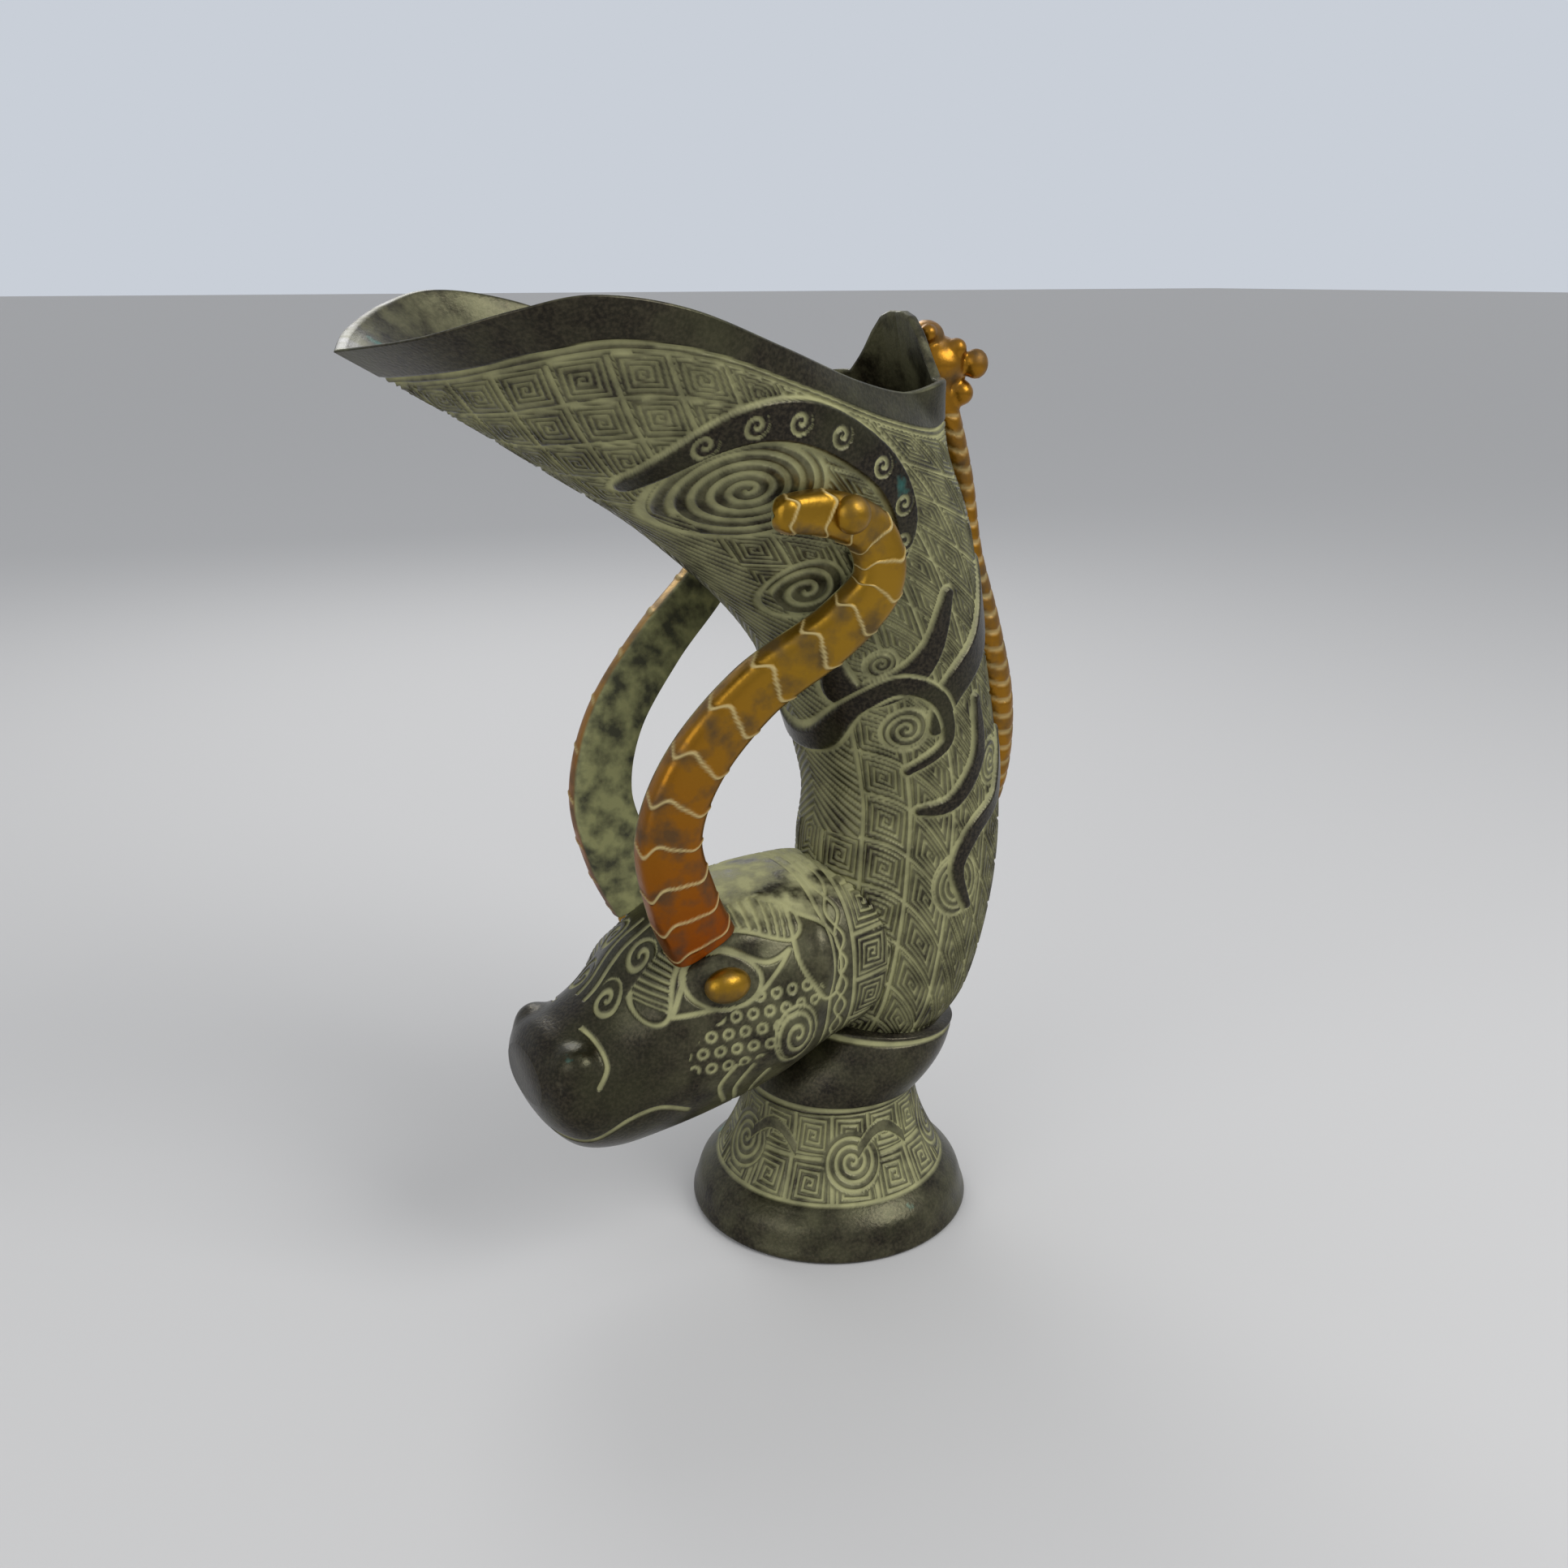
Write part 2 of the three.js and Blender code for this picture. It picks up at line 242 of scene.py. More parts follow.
def patinatedBronze():
    # Cast leaded bronze with a brown-black patina: dull gloss on the high spots, dry pale dust in the cuts.
    look = bronzeLook
    material, tree, shader = newMaterial("patinated_bronze")
    cut, dusty = (addNode(tree, "ShaderNodeAttribute", {"attribute_name": name}).outputs["Fac"]
                  for name in ("cut", "dusty"))
    raw, spread = addBlotches(tree, look["blotches"])
    moss = addNode(tree, "ShaderNodeMath", {**times, 1: look["mossShare"]}, {0: spread["moss"]}).outputs[0]
    cover = []
    for where, least, patch in ((dusty, "filmLeast", "filmPatch"), (cut, "fillLeast", "fillPatch")):
        patches = addNode(tree, "ShaderNodeMath", {**times, 1: look[patch]}, {0: spread["dust"]})
        level = addNode(tree, "ShaderNodeMath", {**plus, 1: look[least]}, {0: patches.outputs[0]})
        cover.append(addNode(tree, "ShaderNodeMath", times, {0: where, 1: level.outputs[0]}).outputs[0])
    film, fill = cover
    dull = addNode(tree, "ShaderNodeMath", greater, {0: fill, 1: film}).outputs[0]
    base = layerColours(tree, look["dark"], [
        (spread["grain"], look["rubbed"]),
        (moss, look["moss"]),
        (film, look["dust"]),
        (fill, look["dust"]),
        (spread["green"], look["verdigris"]),
    ])
    finishShader(tree, shader, look, base, dull, raw["grain"])
    return material


giltLook = {
    "gold": "#94701f", "amber": "#8c4608", "worn": "#352b17", "seam": "#b7a671",
    "patinaDark": "#3a3a28", "patinaPale": "#8c8c5e",
    # size in mm, detail, and the two levels
    "blotches": {"worn": (8, 6, (0.46, 0.66)), "scratch": (1.6, 6, None), "patina": (5, 4, (0.35, 0.65))},
    "wornShare": 0.75, "wornDull": 0.5,
    "rough": (0.3, 0.8), "metal": (0.9, 0.1), "bumpStrength": 0.3, "bumpMm": 0.3,
}


def fireGilding():
    # Thick amber gilding over bronze: warm, soft in gloss, worn brown in blotches, pale dust in the seams.
    look = giltLook
    material, tree, shader = newMaterial("fire_gilding")
    seam, deep, bare = (addNode(tree, "ShaderNodeAttribute", {"attribute_name": name}).outputs["Fac"]
                        for name in ("cut", "deep", "bare"))
    raw, spread = addBlotches(tree, look["blotches"])
    worn, wornDull = (
        addNode(tree, "ShaderNodeMath", {**times, 1: look[share]}, {0: spread["worn"]}).outputs[0]
        for share in ("wornShare", "wornDull")
    )
    ungilt = addNode(tree, "ShaderNodeMath", greater, {0: seam, 1: bare}).outputs[0]
    dull = addNode(tree, "ShaderNodeMath", greater, {0: ungilt, 1: wornDull}).outputs[0]
    patina = layerColours(tree, look["patinaDark"], [(spread["patina"], look["patinaPale"])])
    layers = [(deep, look["amber"]), (worn, look["worn"]), (seam, look["seam"]), (bare, patina)]
    base = layerColours(tree, look["gold"], layers)
    finishShader(tree, shader, look, base, dull, raw["scratch"])
    return material


bronze = patinatedBronze()
gilding = fireGilding()
print("materials made")

# The cup

cup = {
    "rimEdge": [[20, 0, 238], [17, 24, 238.4], [1.7, 31.3, 236.1], [-18, 39, 239.9], [-43, 48, 248.2],
                [-68, 52.6, 256.5], [-88.8, 51.6, 259.3], [-103.6, 44.7, 256.3], [-117.6, 28, 251],
                [-127.7, 0, 247.6]],
    # back x, back z, front x, front z, half width
    "sections": [[28, 220, -86, 223, 43], [36.8, 200, -52, 200, 36], [42.5, 170, -22, 170, 31],
                 [50, 134, -7, 132, 27.5], [52, 108, -8, 112, 27], [49, 86, -9, 92, 27],
                 [42, 66, -9, 72, 26], [33, 55.5, -6, 58.5, 22]],
    "tabHalf": [0, 2.7, 6.8, 10.6, 14.1, 16.2, 20],
    "tabRise": [16, 16, 14.6, 10.9, 6.3, 3.9, 0],
    "wall": 2.6, "floor": 4, "lipRise": 0.45, "lipInset": 0.15,
    "sides": 800, "rows": 480, "innerRows": 90, "cutDepth": 0.6, "ribbonRise": 0.9, "ribbonEnds": 0.45,
    "rimBand": 11.5, "bandLines": (0.6, 2.7), "fieldStart": 3.4, "carvingLow": 58,
    "cell": 13, "pitch": 1.6, "fieldShift": 1.5, "spiralOutline": 0.6,
    "ribbonInset": 0.6, "ribbonSoft": 1.2, "ribbonOutline": 0.4, "bandDust": 0.15, "insideDust": 0.8,
}
ribbons = [  # smooth bands on each side of the cup, as x, z in the side view, and half width
    ([(-70, 219), (-58, 229), (-44, 233), (-29, 230), (-12, 220), (-3, 207), (-5, 196)], 5.0),
    ([(14, 186), (10, 172), (2, 163), (-8, 160), (-13, 168)], 4.2),
    ([(36, 190), (30, 172), (18, 160), (14, 150)], 4.5),
    ([(-22, 148), (-16, 140), (-10, 144), (-7, 156), (2, 163), (14, 158), (18, 146), (8, 138)], 2.6),
    ([(28, 156), (30, 140), (22, 128), (12, 126)], 2.6),
    ([(44, 142), (40, 126), (30, 118), (24, 108), (28, 96)], 2.8),
]
cupSpirals = [  # x, z, radius, pitch, stretch along x
    (-47, 217, 12, 2.4, 1.5), (-25, 190, 7.5, 3.2, 1), (-3, 169, 3.4, 1.7, 1), (24, 103, 8.5, 2.1, 0.85),
    (37, 136, 6, 2.2, 0.8), (6, 150, 5.5, 2.2, 1),
]
curls = {"count": 7, "first": 0.9, "step": 0.75, "radius": 3.1, "pitch": 2.2}  # along the first band
underSpout = {"fold": 0.4, "low": 118, "high": 210, "pitch": 2.4, "slope": 0.7, "depth": 0.8}
backStripe = {"fold": 0.06, "high": 232, "pitch": 3, "depth": 0.6}


def rimRing(sides, grow, lift):
    spec = cup
    turn = 2 * np.arange(sides) / sides
    side = np.where(turn <= 1, 1, -1)
    edgeRow = smoothRows(spec["rimEdge"], (1 - np.abs(1 - turn)) * (len(spec["rimEdge"]) - 1))
    x, w, z = edgeRow.T
    middle = (spec["rimEdge"][0][0] + spec["rimEdge"][-1][0]) / 2
    out = np.stack([x - middle, side * w], 1)
    out /= np.linalg.norm(out, axis=1, keepdims=True)
    tabRise = np.interp(np.abs(w), spec["tabHalf"], spec["tabRise"]) * (x > 0)
    return np.stack([x + out[:, 0] * grow, side * w + out[:, 1] * grow, z + lift + tabRise], 1)


def sectionRing(section, sides, grow):
    backX, backZ, frontX, frontZ, halfWidth = section
    angle = 2 * np.pi * np.arange(sides) / sides
    centre = np.array([(backX + frontX) / 2, 0, (backZ + frontZ) / 2])
    reach = np.array([backX, 0, backZ]) - centre
    reach *= 1 + grow / np.linalg.norm(reach)
    ring = centre + np.cos(angle)[:, None] * reach
    ring[:, 1] = (halfWidth + grow) * np.sin(angle)
    return ring


def cupRings(sides, count, grow, floorRise):
    sections = [list(s) for s in cup["sections"]]
    sections[-1][1] += floorRise
    sections[-1][3] += floorRise
    rings = [rimRing(sides, grow, 0)] + [sectionRing(s, sides, grow) for s in sections]
    lengths = [np.linalg.norm(a - b, axis=1).mean() for a, b in zip(rings, rings[1:])]
    marks = np.append(0, np.cumsum(lengths))
    places = np.interp(np.linspace(0, sum(lengths), count), marks, np.arange(len(rings)))
    return smoothRows(np.array(rings), places)


def cupOrnament(grid):
    x, y, z = grid[..., 0], grid[..., 1], grid[..., 2]
    steps = np.linalg.norm(np.diff(grid, axis=0), axis=2)
    fromRim = np.append(np.zeros((1, grid.shape[1])), np.cumsum(steps, 0), 0)
    column = np.broadcast_to(np.arange(grid.shape[1]), x.shape) / grid.shape[1]
    fold = np.minimum(column, 1 - column)
    around = np.cumsum(np.linalg.norm(grid - np.roll(grid, 1, 1), axis=2), 1)
    girth = around[:, -1:]
    sideways = np.where(column <= 0.5, around, girth - around) - girth / 4
    field = squareSpirals(sideways, fromRim - cup["fieldShift"], cup["cell"], cup["pitch"])
    smooth = np.zeros(x.shape)
    lines = np.zeros(x.shape)
    for centreX, centreZ, radius, pitch, stretch in cupSpirals:
        line, inside = roundSpiral(x, z, (centreX, centreZ), radius, pitch, stretch)
        field = field * (1 - inside) + line
        reach = np.hypot((x - centreX) / stretch, z - centreZ)
        lines = np.maximum(lines, edge(np.abs(reach - radius - cup["spiralOutline"]), boldLine))
    for points, halfWidth in ribbons:
        away, along = pathDistance(x, z, points)
        swell = (1 - cup["ribbonEnds"]) * np.sin(np.pi * np.clip(along, 0.02, 0.98))
        width = halfWidth * (cup["ribbonEnds"] + swell)
        smooth = np.maximum(smooth, edge(away, width - cup["ribbonInset"], cup["ribbonSoft"]))
        outline = edge(np.abs(away - width - cup["ribbonOutline"]), plainLine)
        lines = np.maximum(lines * (away > width), outline)
    for k in range(curls["count"]):
        centre = smoothRows(ribbons[0][0], np.array([curls["first"] + curls["step"] * k]))[0]
        curl, _ = roundSpiral(x, z, centre, curls["radius"], curls["pitch"])
        lines = np.maximum(lines, curl)
    band = fromRim < cup["rimBand"]
    belowBand = fromRim - cup["rimBand"]
    border = np.max([edge(np.abs(belowBand - line), boldLine) for line in cup["bandLines"]], axis=0)
    field = field * (fromRim > cup["rimBand"] + cup["fieldStart"]) * (1 - smooth)
    under = underSpout
    isUnder = (fold > under["fold"]) & (z > under["low"]) & (z < under["high"])
    hatch = edge(saw((z + np.abs(y) * under["slope"]) / under["pitch"]) * under["pitch"], plainLine)
    field = np.where(isUnder & (smooth < 0.1), hatch * under["depth"], field)
    isBack = (fold < backStripe["fold"]) & (z < backStripe["high"])
    bars = edge(saw(z / backStripe["pitch"]) * backStripe["pitch"], fineLine)
    field = np.where(isBack, bars * backStripe["depth"], field)
    cut = np.clip(np.maximum(field, lines), 0, 1) * ~band
    cut = np.maximum(cut, border)
    cut *= z > cup["carvingLow"]
    dusty = np.clip(1 - smooth, 0, 1) * np.where(band, cup["bandDust"], 1)
    return cut, dusty, smooth * ~band


def makeCup():
    outer = cupRings(cup["sides"], cup["rows"], 0, 0)
    cut, dusty, smooth = cupOrnament(outer)
    normal = gridNormals(outer)
    outer = outer + normal * (cup["ribbonRise"] * smooth - cup["cutDepth"] * cut)[..., None]
    inner = cupRings(cup["sides"], cup["innerRows"], -cup["wall"], cup["floor"])
    insets = (cup["lipInset"], 1 - cup["lipInset"])
    lip = [rimRing(cup["sides"], -cup["wall"] * inset, cup["lipRise"])[None] for inset in insets]
    grid = np.concatenate([outer[::-1], *lip, inner])
    pad = np.zeros((len(grid) - len(outer), cup["sides"]))
    values = {
        "cut": np.concatenate([cut[::-1], pad]),
        "dusty": np.concatenate([dusty[::-1], pad + cup["insideDust"]]),
    }
    place(gridMesh("vessel_body_cast", grid, values), "vessel_body", bronze)


makeCup()
print("cup made")

# The bull's head

head = {
    # x, top z, bottom z, half width
    "sections": [[8, 104, 62, 22.5], [-4, 108, 58, 25.6], [-12, 109, 56, 27], [-30, 108, 49, 29.5],
                 [-48, 104, 44, 28], [-62, 97, 41, 25], [-74, 85, 40, 22], [-84, 78.5, 43, 21],
                 [-91, 75.5, 50, 18.5], [-94.5, 71, 57, 12]],
    "sides": 520, "rows": 380, "cutDepth": 0.5, "lineHalf": 0.45, "squareness": 0.85, "narrowing": 0.16,
    "middle": 9, "sideFrom": 12,  # half y from which the side lines and the brow are drawn
    "eye": (-48, 89.5), "eyeLength": 8.5, "eyeHeight": 5.9, "eyeClear": 1.05, "eyeRing": 1.15,
    "eyeRingMm": 7, "noseStart": -40, "noseLength": 30,
}
# Pale dust film on the head, heaviest on top behind the poll. Toward the muzzle the film fades out, which
# paints the muzzle's shade in as darker metal.
headDustAndMuzzleShade = {"frontX": -72, "fade": 26, "least": 0.1, "most": 0.6,
            "poll": 2.4, "pollZ": 99, "pollRise": 5, "pollX": -56, "pollReach": 8}
headBumps = [  # x, half y, z, reach in x, y and z, height
    (-86, 16.5, 72, 6, 8, 5, 3.2),
    (-47, 24, 100, 15, 9, 5, 2.6),
    (-62, 21, 84, 8, 8, 9, 1.2),
    (-20, 27, 92, 6, 9, 14, 3.4),
    (-30, 30, 71, 11, 12, 12, 1.6),
    (-70, 0, 92, 12, 9, 9, 1.0),
]
headLines = [  # x, z in the side view
    [(-58, 54), (-66, 57), (-74, 55), (-84, 50), (-92, 51)],
    [(-46, 66), (-50, 60), (-47, 53)],
    [(-41, 65), (-45, 58), (-42, 50)],
    [(-36, 62), (-39, 56), (-37, 48)],
    [(-62, 82), (-55, 93), (-46, 96.5), (-36, 93), (-29, 95)],
    [(-62, 82), (-52, 83), (-42, 84), (-34, 90), (-29, 95)],
    [(-26, 104), (-15, 95), (-14, 82), (-20, 80), (-27, 92), (-26, 104)],
    [(-91.5, 76), (-87, 79.5), (-81, 77.5), (-79, 71), (-82, 66)],
]
brow = {"line": [(-66, 84), (-62, 94), (-54, 102), (-42, 104), (-28, 101)], "hairs": 26, "hairGap": 2.3,
        "hairHalf": 0.32, "reach": 3.4, "outline": 3.9}
cheekSpiral = {"centre": (-29, 72), "radius": 7.5, "pitch": 3.6, "stretch": 0.8, "ring": 8.2}
cheekRings = {"centre": (-40, 76), "reach": (19, 9), "slope": 0.35, "step": 4.6, "radius": 1.25}
neckBand = {"chain": -13.4, "swing": 1.9, "link": 13, "front": -17.6, "back": -9.5, "edge": -8.8,
            "thunder": -8.5, "thunderLow": 3.2}
scrolls = [((-64, 8.5), 1), ((-74, 8), -1)]  # x and half y seen from above, and the way they turn
scrollShape = {"radius": 4.4, "pitch": 2.9, "stretch": 1, "low": 76}
noseLines = {"y": 2.2, "low": 80, "front": -78, "back": -58}


def headOrnament(grid):
    x, y, z = grid[..., 0], grid[..., 1], grid[..., 2]
    cut = np.zeros(x.shape)
    for points in headLines:
        away, _ = pathDistance(x, z, points)
        cut = np.maximum(cut, edge(away, head["lineHalf"]) * (np.abs(y) > head["middle"]))
    isSide = np.abs(y) > head["sideFrom"]
    browAway, browPlace = pathDistance(x, z, brow["line"])
    hairs = edge(saw(browPlace * brow["hairs"]) * brow["hairGap"], brow["hairHalf"])
    cut = np.maximum(cut, hairs * (browAway < brow["reach"]) * isSide)
    cut = np.maximum(cut, edge(np.abs(browAway - brow["outline"]), plainLine) * isSide)
    spec = cheekSpiral
    spiral, inside = roundSpiral(x, z, spec["centre"], spec["radius"], spec["pitch"], spec["stretch"])
    cut = np.maximum(cut * (1 - inside), spiral)
    reach = np.hypot((x - spec["centre"][0]) / spec["stretch"], z - spec["centre"][1])
    cut = np.maximum(cut, edge(np.abs(reach - spec["ring"]), boldLine))
    spec = cheekRings
    px = x / spec["step"] + 0.5 * np.floor(z / spec["step"])
    pz = z / spec["step"]
    ringAway = np.hypot(px - np.floor(px) - 0.5, pz - np.floor(pz) - 0.5) * spec["step"]
    fromMiddle = x - spec["centre"][0]
    rise = z - spec["centre"][1] - fromMiddle * spec["slope"]
    isCheek = (np.hypot(fromMiddle / spec["reach"][0], rise / spec["reach"][1]) < 1) & (inside < 0.1)
    cut = np.maximum(cut, edge(np.abs(ringAway - spec["radius"]), fineLine) * isCheek)
    spec = neckBand
    for phase in (0, np.pi):
        wave = spec["chain"] + spec["swing"] * np.sin(2 * np.pi * z / spec["link"] + phase)
        cut = np.maximum(cut, edge(np.abs(x - wave), boldLine) * (x < spec["back"]))
    cut = np.maximum(cut, edge(np.abs(x - spec["front"]), boldLine))
    spec = scrollShape
    for side in (-1, 1):
        for centre, hand in scrolls:
            shape = (spec["radius"], spec["pitch"], spec["stretch"])
            scroll, _ = roundSpiral(x, side * y, centre, *shape, hand)
            cut = np.maximum(cut, scroll * (z > spec["low"]))
    isNose = (z > noseLines["low"]) & (x > noseLines["front"]) & (x < noseLines["back"])
    cut = np.maximum(cut, edge(np.abs(np.abs(y) - noseLines["y"]), plainLine) * isNose)
    eyeX, eyeZ = head["eye"]
    ringOut = np.hypot((x - eyeX) / head["eyeLength"], (z - eyeZ) / head["eyeHeight"])
    ring = edge(np.abs(ringOut - head["eyeRing"]) * head["eyeRingMm"], boldLine) * isSide
    cut = np.maximum(cut * (ringOut > head["eyeClear"]), ring)
    field = squareSpirals(x - neckBand["thunder"], z - neckBand["thunderLow"], cup["cell"], cup["pitch"])
    cut = np.where(x > neckBand["thunder"], field, cut)
    cut = np.maximum(cut, edge(np.abs(x - neckBand["edge"]), boldLine))
    spec = headDustAndMuzzleShade
    high = np.clip((z - spec["pollZ"]) / spec["pollRise"], 0, 1)
    behind = np.clip((x - spec["pollX"]) / spec["pollReach"], 0, 1)
    # Painted shade: the film thins toward the muzzle, so the muzzle comes out darker.
    fromNose = np.clip((x - spec["frontX"]) / spec["fade"], spec["least"], 1)
    dusty = fromNose * spec["most"] + spec["poll"] * (high * behind)
    return cut, dusty


def makeHead():
    stations = smoothRows(head["sections"], np.linspace(0, len(head["sections"]) - 1, head["rows"]))
    angle = 2 * np.pi * np.arange(head["sides"]) / head["sides"]
    full = [np.sign(v) * np.abs(v) ** head["squareness"] for v in (np.cos(angle), np.sin(angle))]
    x, top, bottom, halfWidth = (column[:, None] for column in stations.T)
    towardNose = np.clip((head["noseStart"] - x) / head["noseLength"], 0, 1)
    narrow = 1 - head["narrowing"] * np.clip(full[1], 0, 1) ** 2 * towardNose
    grid = np.stack([
        x + 0 * angle,
        halfWidth * full[0] * narrow,
        (top + bottom) / 2 + (top - bottom) / 2 * full[1],
    ], -1)
    rise = np.zeros(grid.shape[:2])
    for bumpX, bumpY, bumpZ, reachX, reachY, reachZ, height in headBumps:
        away = np.stack([(grid[..., 0] - bumpX) / reachX, (np.abs(grid[..., 1]) - bumpY) / reachY,
                         (grid[..., 2] - bumpZ) / reachZ])
        rise += height * np.exp(-2 * (away ** 2).sum(0) ** 1.5)
    cut, dusty = headOrnament(grid)
    grid = grid + gridNormals(grid) * (rise - head["cutDepth"] * cut)[..., None]
    place(gridMesh("bull_head_cast", grid, {"cut": cut, "dusty": dusty}), "bull_head", bronze)


makeHead()
print("head made")

# The belt and the foot

collar = {"height": 19.5, "gap": 0.3, "tiltForward": 3, "marginX": 5, "marginY": 3, "bulge": 2.2,
          "lines": (0.06, 0.93), "lineSpan": 19, "sides": 240, "rows": 60, "cutDepth": 0.5, "dust": 0.2}
foot = {
    "ledgeRadius": 35, "ledgeHeight": 13, "neckRadius": 25, "top": 38, "wall": 3.2, "ledgeStep": (0.8, 0.6),
    "skirt": [[40.2, 0], [41, 1.2], [40.2, 4], [38.5, 9], [35.1, 12.9]],  # radius and z
    "skirtRows": 30, "flareRows": 90, "openRows": 14, "flare": 1.6, "sides": 720, "cutDepth": 0.5,
    "carvingLow": 14.5, "edgeLine": 14.4, "meanRadius": 30, "cells": 15, "pitch": 1.6, "fieldShift": 0.6,
    "spirals": 5, "spiralZ": 25, "spiralRadius": 8, "spiralPitch": 2.3, "spiralStretch": 1.1,
    "waveHeight": 8, "waveLength": 7, "waveHalf": 1.6, "waveShift": 11, "waveReach": 9,
    "carvedDust": 1, "plainDust": 0.35,
}


def makeCollar():
    spec = collar
    neck = foot["neckRadius"]
    share = np.linspace(0, 1, spec["rows"])[:, None]
    angle = 2 * np.pi * np.arange(spec["sides"]) / spec["sides"]
    backX, _, frontX, _, halfWidth = cup["sections"][-1]
    swell = spec["bulge"] * np.sin(np.pi * share)
    halfX = neck + share * ((backX - frontX) / 2 + spec["marginX"] - neck) + swell
    halfY = neck + share * (halfWidth + spec["marginY"] - neck) + swell
    x = (backX + frontX) / 2 * share + halfX * np.cos(angle)
    z = foot["top"] + spec["gap"] + spec["height"] * share - spec["tiltForward"] * share * np.cos(angle)
    grid = np.stack([x, halfY * np.sin(angle), z], -1)
    cut = np.max([edge(np.abs(share - line) * spec["lineSpan"], boldLine) for line in spec["lines"]], axis=0)
    cut = cut + 0 * angle
    grid = grid - gridNormals(grid) * (spec["cutDepth"] * cut)[..., None]
    values = {"cut": cut, "dusty": np.full(cut.shape, spec["dust"])}
    place(gridMesh("neck_collar_cast", grid, values), "neck_collar", bronze)


def makeFoot():
    spec = foot
    stepIn, stepUp = spec["ledgeStep"]
    rise = spec["top"] - spec["ledgeHeight"]
    taper = spec["ledgeRadius"] - stepIn - spec["neckRadius"]
    share = np.linspace(0, 1, spec["flareRows"])
    flareRadius = spec["neckRadius"] + taper * (1 - share) ** spec["flare"]
    flare = np.stack([flareRadius, spec["ledgeHeight"] + stepUp + (rise - stepUp) * share], 1)
    skirt = smoothRows(spec["skirt"], np.linspace(0, len(spec["skirt"]) - 1, spec["skirtRows"]))
    outer = np.concatenate([skirt, flare])
    inner = outer[:-spec["openRows"]] - [spec["wall"], 0]
    profile = np.concatenate([inner[::-1], outer])
    angle = 2 * np.pi * np.arange(spec["sides"]) / spec["sides"]
    radius, height = profile[:, :1], profile[:, 1:]
    grid = np.stack([radius * np.cos(angle), radius * np.sin(angle), height + 0 * angle], -1)
    z = grid[..., 2]
    faceOutside = (np.arange(len(profile)) >= len(inner))[:, None]
    isOuter = faceOutside & (z > spec["carvingLow"])
    around = np.broadcast_to(angle, z.shape) * spec["meanRadius"]
    girth = spec["meanRadius"] * 2 * np.pi
    field = squareSpirals(around, z - spec["fieldShift"], girth / spec["cells"], spec["pitch"])
    for k in range(spec["spirals"]):
        centre = (girth * (k + 0.5) / spec["spirals"], spec["spiralZ"])
        shape = (spec["spiralRadius"], spec["spiralPitch"], spec["spiralStretch"])
        spiral, inside = roundSpiral(around, z, centre, *shape)
        field = field * (1 - inside) + spiral
        bend = spec["waveHeight"] * np.sin((around - centre[0]) / spec["waveLength"])
        wave = np.abs(z - spec["spiralZ"] - bend) - spec["waveHalf"]
        near = np.abs(around - centre[0] - spec["waveShift"]) < spec["waveReach"]
        field = np.where(near & (wave < 0), 0, np.maximum(field, edge(np.abs(wave), boldLine) * near))
    cut = np.maximum(field * isOuter, edge(np.abs(z - spec["edgeLine"]), plainLine) * faceOutside)
    direction = np.stack([np.cos(angle), np.sin(angle), 0 * angle], -1)
    grid = grid - direction * (spec["cutDepth"] * cut)[..., None]
    dusty = np.where(isOuter, spec["carvedDust"], spec["plainDust"])
    place(gridMesh("foot_cast", grid, {"cut": cut, "dusty": dusty}), "foot", bronze)


makeCollar()
makeFoot()
print("belt and foot made")

# Horns, eyes, studs and the dragon

horn = {
    # x, y, z, width, thickness
    "line": [[-51, 17.5, 99, 19, 12], [-57, 19.5, 112, 18.5, 11], [-61, 21, 130, 17, 10],
             [-55, 24, 149, 16, 9], [-40, 28, 167, 15, 9], [-22, 35, 181, 14, 9],
             [-12, 38.5, 193, 13, 9], [-15, 39.5, 205, 12, 9], [-28, 41.5, 211, 11, 9],
             [-44, 44, 212, 8, 7]],
    "rings": 16, "rows": 420, "sides": 72, "squareness": 0.62, "tipStart": 0.965, "tipLength": 0.035,
    "seamGap": 11, "seamHalf": 0.18, "seamSoft": 0.4, "seamRise": 0.3, "wobble": 0.12, "wobbles": 4,
    "insideSwell": 1.3, "swellFrom": 0.55, "seamFacing": -0.25, "seamDust": 0.9,
    "bareSlope": 4, "bareFrom": 0.8, "amberRoot": 1.1, "amberFade": 2.2,
}


def barGrid(rows, sides, squareness=1.0):
    centres = rows[:, :3]
    along = np.gradient(centres, axis=0)
    along /= np.linalg.norm(along, axis=1, keepdims=True)
    across = np.cross([0, 1, 0], along)
    across /= np.linalg.norm(across, axis=1, keepdims=True)
    outward = np.cross(along, across)
    angle = 2 * np.pi * np.arange(sides) / sides
    c, s = (np.sign(v) * np.abs(v) ** squareness for v in (np.cos(angle), np.sin(angle)))
    return (centres[:, None] + across[:, None] * (rows[:, 3] / 2)[:, None, None] * c[None, :, None]
            + outward[:, None] * (rows[:, 4] / 2)[:, None, None] * s[None, :, None])


